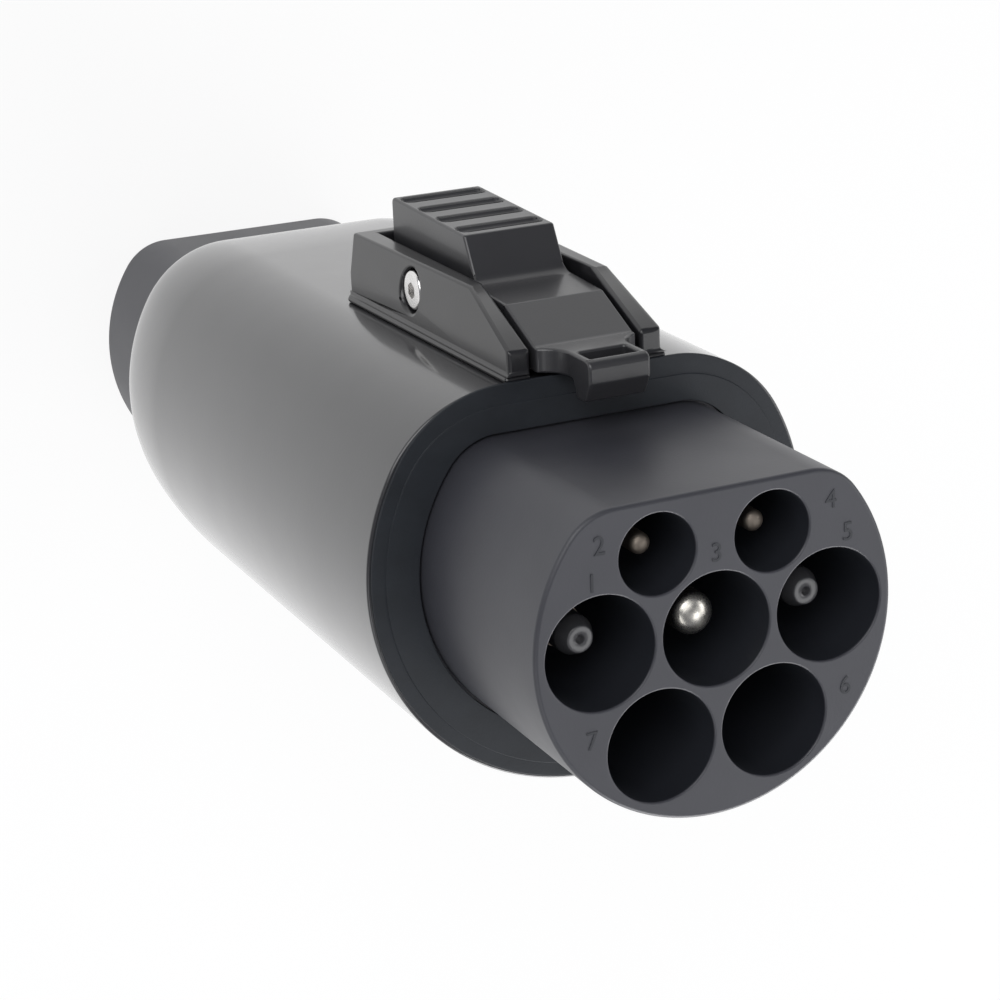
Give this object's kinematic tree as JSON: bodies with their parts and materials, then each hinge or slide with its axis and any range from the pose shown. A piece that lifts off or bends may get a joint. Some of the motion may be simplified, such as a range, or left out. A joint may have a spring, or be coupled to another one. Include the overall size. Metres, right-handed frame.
{
  "type": "ev charging adapter",
  "caption": "Handheld charging adapter with a D-shaped plug nose, recessed pins, a sprung latch with a thumb button, a grip body and a matching socket nose.",
  "frame": {"origin": "on the plug's axis, in the end face of the socket nose, on which the adapter stands", "axes": "+Z along the axis from the socket nose to the plug's face; the latch lies on the -Y side; +X to the side of the line contact"},
  "size_m": [0.0698, 0.078, 0.179],
  "materials": {
    "body_plastic": "satin moulded charcoal, glossy enough to mirror soft lights",
    "nose_plastic": "matt moulded dark grey",
    "gasket_rubber": "matt blue-black",
    "latch_plastic": "satin moulded charcoal",
    "stainless": "turned and polished",
    "spring_steel": "drawn wire",
    "switch_plastic": "plain black",
    "board": "lacquered laminate",
    "resistor": "lacquered",
    "retainer_plastic": "plain moulded",
    "cap_plastic": "plain moulded",
    "plated_contact": "silver-plated, turned",
    "insert_brass": "turned",
    "earth_cover": "soft cover over copper",
    "line_cover": "soft cover over copper",
    "neutral_cover": "soft cover over copper",
    "signal_cover": "soft cover over copper"
  },
  "bodies": {
    "housing": {"body_shell": "body_plastic", "latch_bracket": "body_plastic", "bracket_screws": "stainless", "plug_insulator": "nose_plastic", "socket_insulator": "nose_plastic", "front_gasket": "gasket_rubber", "rear_seal": "gasket_rubber", "latch_pivot_screw": "stainless", "latch_pivot_nut": "stainless", "latch_spring": "spring_steel", "microswitch": "switch_plastic", "switch_board": "board", "coding_resistor": "resistor", "board_screws": "stainless", "plug_retainer": "retainer_plastic", "socket_retainer": "retainer_plastic", "plug_retainer_screws": "stainless", "socket_retainer_screws": "stainless", "tie_bolts": "stainless", "tie_inserts": "insert_brass", "line_tip_cap": "cap_plastic", "neutral_tip_cap": "cap_plastic", "plug_earth_pin": "plated_contact", "plug_line_pin": "plated_contact", "plug_neutral_pin": "plated_contact", "plug_pilot_pin": "plated_contact", "plug_proximity_pin": "plated_contact", "socket_earth_pin": "plated_contact", "socket_line_pin": "plated_contact", "socket_neutral_pin": "plated_contact", "socket_pilot_pin": "plated_contact", "socket_proximity_pin": "plated_contact", "earth_conductor": "earth_cover", "line_conductor": "line_cover", "neutral_conductor": "neutral_cover", "pilot_conductor": "signal_cover", "proximity_conductor": "signal_cover"},
    "latch": {"latch_lever": "latch_plastic"},
    "plunger": {"switch_plunger": "switch_plastic"}
  },
  "joints": [
    {"name": "latch_hinge", "type": "hinge", "parent": "housing", "child": "latch", "pos_m": [0, -0.0327, 0.10955], "axis": [1, 0, 0], "range_deg": [0, 10], "stiffness_Nm_per_rad": 0.3, "springref_deg": -5.73, "deforming": ["latch_spring"]},
    {"name": "plunger_slide", "type": "slide", "parent": "housing", "child": "plunger", "axis": [0, 1, 0], "range_m": [0, 0.00115]}
  ],
  "couplings": [
    {"joint": "plunger_slide", "follows": "latch_hinge", "m_per_rad": 0.0063}
  ]
}
